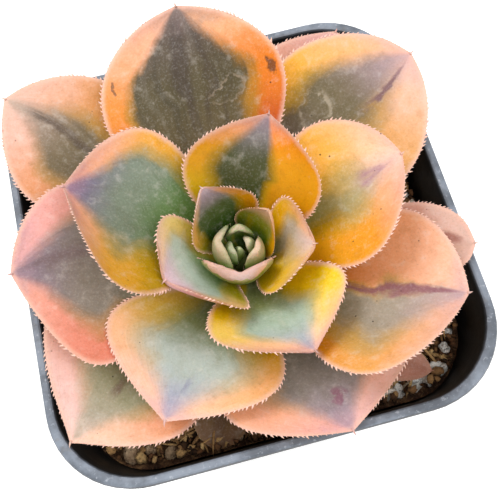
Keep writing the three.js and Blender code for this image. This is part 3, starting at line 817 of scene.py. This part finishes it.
# eight drain holes
drills = []
reach = pot["holeReach"] * mm
for x in (-1, 0, 1):
    for y in (-1, 0, 1):
        if x or y:
            startFresh()
            bpy.ops.mesh.primitive_cylinder_add(
                vertices=32, radius=pot["holeRadius"] * mm, depth=pot["holeDeep"] * mm,
                location=(x * reach, y * reach, 0))
            drills.append(bpy.context.object)
startFresh()
for drill in drills:
    drill.select_set(True)
bpy.context.view_layer.objects.active = drills[0]
bpy.ops.object.join()
drill = bpy.context.object
pickOnly(body)
applyModifier(body, "BOOLEAN", object=drill, operation="DIFFERENCE")
bpy.data.objects.remove(drill)
pickOnly(body)
bpy.ops.object.shade_smooth_by_angle(angle=math.radians(pot["splitAngle"]))

# thin moulded plastic: black walls with dried splashes, and a lip greyed by dust and scuffs, with
# painted sheen making the rim's top and outer side lighter than its black inside
plastic, node, place = newMaterial("black_polypropylene")
height = node("height", place)
facing = node("facing")
dusty = node("clouds", place, per(pot["dust"]), 4, 0.6)
scuffs = node("clouds", place, per(pot["scuff"]), 4, 0.7)
stretched = node("stretch", place, (1, 1, 9))
rubbed = node("clouds", stretched, per(pot["rub"]), 4, 0.65)
lipHere = node("smooth", height, 78.9 * mm, 79.75 * mm)
lipSide = node("smooth", height, 76.4 * mm, 76.9 * mm)
# painted sheen mask: how far a face looks up, so that the top of the rim is painted lighter
lift = node("smooth", node("height", facing), 0.1, 0.6)
black, lip, sideSheenAndRubs = [
    node("mix", node("smooth", value, low, high), *map(colour, pot[key]))
    for key, value, low, high in (("black", dusty, 0.45, 0.75), ("lip", dusty, 0.35, 0.65),
                                  ("side", rubbed, 0.4, 0.7))]
worn = node("multiply", node("smooth", scuffs, 0.56, 0.72), 0.6)
lip = node("mix", worn, lip, colour(pot["worn"]))
# painted light and shade: faces that look inwards are left black as painted shade, while the rim's
# outward faces get the lighter side grey, painted sheen with rub marks in it
outside = node("smooth", node("dot", place, facing), -0.001, 0.001)
# painted sheen on the rim's outer side, painted shade on its inside
shade = node("mix", node("multiply", lipSide, outside), black, sideSheenAndRubs)
# painted sheen: the rim's upward faces get the lighter blue-grey lip colour, with dust patches and
# scuffs in it
shade = node("mix", node("multiply", lipHere, lift), shade, lip)
splash = node("clouds", place, per(pot["splash"]), 2)
splash = node("multiply", node("smooth", splash, 0.66, 0.72), 0.22)
splash = node("multiply", splash, outside)
shade = node("mix", splash, shade, colour(pot["mud"]))
relief = node("bump", scuffs, 0.05 * mm, 0.6)
relief = node("bump", dusty, 0.12 * mm, 0.6, relief)
node("output", node("surface", {
    "Base Color": shade, "Roughness": node("range", scuffs, *pot["rough"]),
    "IOR": pot["ior"], "Normal": relief}))
body.data.materials.append(plastic)
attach(body, "root")
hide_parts("pot")
print("pot ready")

# soil
soil = {
    "foot": 1.9, "corner": 13, "cornerSteps": 10, "firstRing": 3, "base": 71.5,
    "rings": ((64, 82.2), (76, 84.3)),
    "level": 64.6, "sheet": 96, "cells": 90, "clods": 3.5, "rough": 1.4, "splitAngle": 50,  # mm
    "bank": 2.6, "bankWide": 6, "wallAt": -42,  # mm; the soil rises towards the front wall
    "front": (-152, 22), "frontShare": 0.82,  # degrees; where the leaves leave the soil open
    "whiteArc": (-68, 22), "whiteFrom": 0.9,  # perlite gathers in one corner
    "wallSlope": 0.0875, "roundness": 6,  # of the line that the grains keep inside
    "band": 16, "heapWide": 6, "heapHigh": 4, "fibreLift": 1.1, "wallGap": 0.25,  # mm
    "crowding": 1.5, "grainTop": 66,  # how they gather at the wall; mm, where the wall is measured
    # count, shortest and longest in mm, how slim, tone range
    "grains": ((2300, 0.8, 2.0, 0.75, 0.0, 0.4), (760, 1.1, 2.8, 0.7, 0.25, 0.62),
               (260, 1.6, 3.6, 0.55, 0.74, 1.0), (480, 3.0, 8.0, 0.12, 0.36, 0.62)),
    "slim": 0.3, "fullLump": 1.9,  # fibres are slimmer, and shorter grains are simple crumbs
    "peat": ((0.3, 0x1E120B), (0.48, 0x4A3020), (0.62, 0x7A5A3C), (0.76, 0xA07C54)),
    "husk": 0xA88A64,
    "grit": ((0, 0x33200F), (0.3, 0x6E4A2C), (0.45, 0xB48A58), (0.6, 0xDAB67C),
             (0.74, 0xEADCC4), (0.9, 0xFFFDF8)),
    "pit": 0x1A100A,
}


def bankAt(y):
    near = min(1, max(0, 1 - (y - soil["wallAt"]) / soil["bankWide"]))
    return soil["bank"] * near * near * (3 - 2 * near)


block = roundedBlock("soil_block", soil["base"], soil["corner"], soil["cornerSteps"],
                     soil["foot"], soil["firstRing"])
raiseRings(block, soil["rings"], soil["firstRing"], soil["base"])
bpy.ops.object.mode_set(mode="OBJECT")
startFresh()
bpy.ops.mesh.primitive_grid_add(x_subdivisions=soil["cells"], y_subdivisions=soil["cells"],
                                size=soil["sheet"] * mm, location=(0, 0, soil["level"] * mm))
ground = bpy.context.object
ground.name = "soil_bed"
bpy.ops.object.transform_apply(location=True)
clouds = bpy.data.textures.new("clods", "CLOUDS")
clouds.noise_scale = soil["clods"] * mm
clouds.noise_depth = 4
applyModifier(ground, "DISPLACE", texture=clouds, strength=soil["rough"] * mm, mid_level=0.5)
for vertex in ground.data.vertices:
    vertex.co.z += bankAt(vertex.co.y / mm) * mm
bpy.ops.object.mode_set(mode="EDIT")
bpy.ops.mesh.select_all(action="SELECT")
bpy.ops.mesh.extrude_region_move(TRANSFORM_OT_translate={"value": (0, 0, -100 * mm)})
bpy.ops.mesh.select_all(action="SELECT")
bpy.ops.mesh.normals_make_consistent(inside=False)
bpy.ops.object.mode_set(mode="OBJECT")
applyModifier(ground, "BOOLEAN", object=block, operation="INTERSECT")
bpy.data.objects.remove(block)


def makeLump(name, seed, detail):
    startFresh()
    bpy.ops.mesh.primitive_ico_sphere_add(subdivisions=detail, radius=0.5)
    lump = bpy.context.object
    lump.name = name
    bpy.ops.object.mode_set(mode="EDIT")
    bpy.ops.mesh.select_all(action="SELECT")
    bpy.ops.transform.vertex_random(offset=0.16, uniform=0.3, normal=0.6, seed=seed)
    bpy.ops.object.mode_set(mode="OBJECT")
    return lump


def scatter(spot, tall, slim, tone, dice):
    pattern = dice.choice(lumps if tall > soil["fullLump"] and slim > soil["slim"] else crumbs)
    turn = Matrix.Rotation(dice.uniform(0, 6.28), 4, "Z")
    turn = turn @ Matrix.Rotation(dice.uniform(-0.35, 0.35), 4, "X")
    if slim > soil["slim"]:
        turn = turn @ Matrix.Rotation(dice.uniform(-1, 1), 4, "Y")
    wide = tall * slim * dice.uniform(0.85, 1.2)
    size = Matrix.Diagonal((wide, tall, tall * slim * dice.uniform(0.75, 1.05), 1))
    put = Matrix.Translation(spot) @ turn @ size @ Matrix.Scale(mm, 4)
    stamp(shape, pattern, put, {"tone": tone})


lumps = [makeLump("lump", seed, 2) for seed in (3, 8, 21)]
crumbs = [makeLump("crumb", seed, 1) for seed in (5, 13)]
dice = random.Random(11)
shape = bmesh.new()
shape.verts.layers.float.new("tone")
stoneNames = [name for name in sorted(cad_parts) if name.startswith("stone_")]
stoneBoxes = [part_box(name) for name in stoneNames]
bottomRing, bottomWidth = soil["rings"][0]
reach = bottomWidth / 2 + (soil["grainTop"] - bottomRing) * soil["wallSlope"]
reach -= soil["wallGap"]
for count, small, large, slim, dull, pale in soil["grains"]:
    for _ in range(count):
        front = dice.random() < soil["frontShare"]
        arc = soil["whiteArc"] if pale > soil["whiteFrom"] else soil["front"]
        angle = math.radians(dice.uniform(*(arc if front else (0, 360))))
        # spread through the outer band, thickest against the wall
        deep = dice.random() ** soil["crowding"] * soil["band"]
        x, y = math.cos(angle), math.sin(angle)
        power = sum(abs(part) ** soil["roundness"] for part in (x, y)) ** (1 / soil["roundness"])
        tall = dice.uniform(small, large)
        heaped = max(0, 1 - deep / soil["heapWide"]) * dice.uniform(0, soil["heapHigh"])
        grain = slim > soil["slim"]
        out = reach + heaped * soil["wallSlope"] - deep - tall * (0.5 if grain else 0.4)
        out /= power
        height = soil["level"] + heaped + bankAt(y * out)
        height += 0.2 + tall * slim * 0.25 if grain else soil["fibreLift"]
        spot = Vector((x * out, y * out, height)) * mm
        if not any(low.x < spot.x < high.x and low.y < spot.y < high.y for low, high in stoneBoxes):
            scatter(spot, tall, slim, dice.uniform(dull, pale), dice)
grains = addObject("soil_grains", bpy.data.meshes.new("soil_grains"))
shape.to_mesh(grains.data)
shape.free()
grains.data.shade_smooth()
for lump in lumps + crumbs:
    bpy.data.objects.remove(lump)
pickOnly(ground)
bpy.ops.object.shade_smooth_by_angle(angle=math.radians(soil["splitAngle"]))

# dark fibrous potting mix: crumbly, with paler husks in it
peat, node, place = newMaterial("damp_peat")
clods = node("clouds", place, per(2.4), 5, 0.65)
husks = node("clouds", place, per(0.5), 3, 0.6)
shade = node("ramp", clods, stops=[(at, colour(c)) for at, c in soil["peat"]])
share = node("multiply", node("smooth", husks, 0.55, 0.7), 0.5)
shade = node("mix", share, shade, colour(soil["husk"]))
relief = node("bump", husks, 0.25 * mm, 0.8)
relief = node("bump", clods, 0.9 * mm, 0.9, relief)
node("output", node("surface", {
    "Base Color": shade, "Roughness": 0.95, "IOR": 1.4, "Normal": relief}))
ground.data.materials.append(peat)

# peat crumbs, bark fibre, pumice and perlite, told apart by the tone of each grain
grit, node, place = newMaterial("mixed_grit")
pits = node("clouds", place, per(0.55), 4, 0.65)
tone = node("attribute", attribute_name="tone")
shade = node("ramp", tone, stops=[(at, colour(c)) for at, c in soil["grit"]])
pitted = node("mix", 0.5, shade, colour(soil["pit"]))
shade = node("mix", node("smooth", pits, 0.5, 0.32), shade, pitted)
relief = node("bump", pits, 0.3 * mm, 0.9)
node("output", node("surface", {
    "Base Color": shade, "Roughness": 0.92, "IOR": 1.45, "Normal": relief}))
grains.data.materials.append(grit)
for piece in (ground, grains):
    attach(piece, "root")
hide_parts("soil")
print("soil ready")

# stones and stem
stones = {
    "levels": 3, "dentWide": 1.3, "dent": 1.1, "pore": 0.7, "cloud": 1.6, "poreDeep": 0.25,  # mm
    "poreTone": 0x2A1C10, "whiteFrom": 25,  # mm; the stones further right are perlite
    "dusty_pumice": (0x7A5E44, 0xC8AC8A), "expanded_perlite": (0xC4BCAE, 0xF6F3EC),
}
trunk = {
    "levels": 2, "scar": 3, "scarShift": 4, "greenFrom": 70, "greenTo": 81,  # mm
    "cork": (0x4A3A22, 0x7A6A40), "green": 0x7E8A4C,
}


def refinedCopy(name, levels):
    copy = addObject(name + "_refined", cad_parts[name].data.copy())
    copy.data.materials.clear()
    pickOnly(copy)
    bpy.ops.object.mode_set(mode="EDIT")
    bpy.ops.mesh.select_all(action="SELECT")
    bpy.ops.mesh.remove_doubles(threshold=1e-6)
    bpy.ops.object.mode_set(mode="OBJECT")
    applyModifier(copy, "SUBSURF", levels=levels, render_levels=levels)
    return copy


def fitBox(piece, low, high):
    # stretch a piece to fill its solid's box again
    bottom, top = extentOf(piece)
    for vertex in piece.data.vertices:
        for i in range(3):
            grown = (vertex.co[i] - bottom[i]) * (high[i] - low[i]) / (top[i] - bottom[i])
            vertex.co[i] = low[i] + grown


def makeStoneMaterial(name):
    # light foamed rock: chalky, cloudy and full of small dark pores
    material, node, place = newMaterial(name)
    pores = node("cells", place, per(stones["pore"]))
    clouds = node("clouds", place, per(stones["cloud"]), 4, 0.6)
    shade = node("ramp", clouds, stops=list(zip((0.3, 0.62), map(colour, stones[name]))))
    deep = node("mix", 0.55, shade, colour(stones["poreTone"]))
    shade = node("mix", node("smooth", pores, 0.32, 0.12), shade, deep)
    height = node("add", clouds, node("smooth", pores, 0.1, 0.4))
    relief = node("bump", height, stones["poreDeep"] * mm, 0.9)
    node("output", node("surface", {
        "Base Color": shade, "Roughness": 0.95, "IOR": 1.5, "Normal": relief}))
    return material


dents = bpy.data.textures.new("pitted", "CLOUDS")
dents.noise_scale = stones["dentWide"] * mm
dents.noise_depth = 3
pumice, perlite = makeStoneMaterial("dusty_pumice"), makeStoneMaterial("expanded_perlite")
for name in stoneNames:
    low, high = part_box(name)
    stone = refinedCopy(name, stones["levels"])
    applyModifier(stone, "DISPLACE", texture=dents, texture_coords="LOCAL",
                  strength=stones["dent"] * mm)
    fitBox(stone, low, high)
    stone.data.shade_smooth()
    white = high.x > stones["whiteFrom"] * mm
    stone.data.materials.append(perlite if white else pumice)
    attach(stone, "root")
    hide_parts(name)

stem = refinedCopy("stem", trunk["levels"])
fitBox(stem, *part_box("stem"))
stem.data.shade_smooth()
# green under the bud, brown and scarred below
bark, node, place = newMaterial("corky_stem")
flattened = node("stretch", place, (1, 1, 3))
scars = node("clouds", flattened, per(trunk["scar"]), 4, 0.6)
height = node("multiply", scars, trunk["scarShift"] * mm)
height = node("add", node("height", place), height)
young = node("smooth", height, trunk["greenFrom"] * mm, trunk["greenTo"] * mm)
cork = node("smooth", scars, 0.4, 0.7)
cork = node("mix", cork, *map(colour, trunk["cork"]))
shade = node("mix", young, cork, colour(trunk["green"]))
relief = node("bump", scars, 0.5 * mm, 0.8)
node("output", node("surface", {
    "Base Color": shade, "Roughness": 0.75, "IOR": 1.4, "Normal": relief}))
stem.data.materials.append(bark)
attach(stem, "root")
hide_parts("stem")
print("stones and stem ready")
